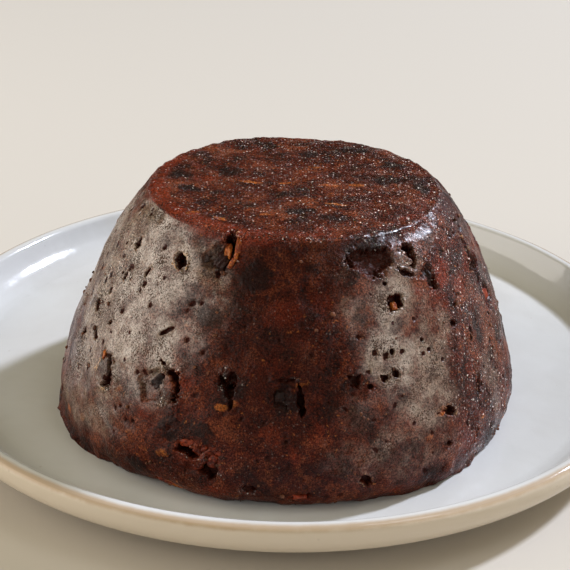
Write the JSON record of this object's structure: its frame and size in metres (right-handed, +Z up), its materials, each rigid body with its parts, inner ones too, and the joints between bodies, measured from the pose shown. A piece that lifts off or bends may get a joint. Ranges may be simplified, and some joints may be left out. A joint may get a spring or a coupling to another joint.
{
  "type": "christmas pudding on a plate",
  "caption": "Steamed christmas pudding: a dark fruit sponge moulded in a basin, wide at the foot and flat on top, turned out on a round stoneware plate with a low upright rim.",
  "frame": {"origin": "the middle of the plate's foot, at table level, which is the bottom centre of the whole part's box", "axes": "+Z up; -Y is the front, towards which the pudding stands off the plate's middle; +X to the right seen from the front"},
  "size_m": [0.23, 0.23, 0.0756],
  "materials": {
    "fruit_sponge": "dark steamed fruit sponge, moist and satin, with a thin grey bloom and fine pores",
    "dried_fruit": "raisins and currants, near black, wrinkled and sticky",
    "candied_peel": "candied orange peel and cherry, moist, amber to dark red",
    "pale_glaze": "pale grey-white glossy glaze, thin and tan on the rim, cream outside"
  },
  "bodies": {
    "root": {"pudding": "fruit_sponge", "plate": "pale_glaze"}
  },
  "joints": []
}
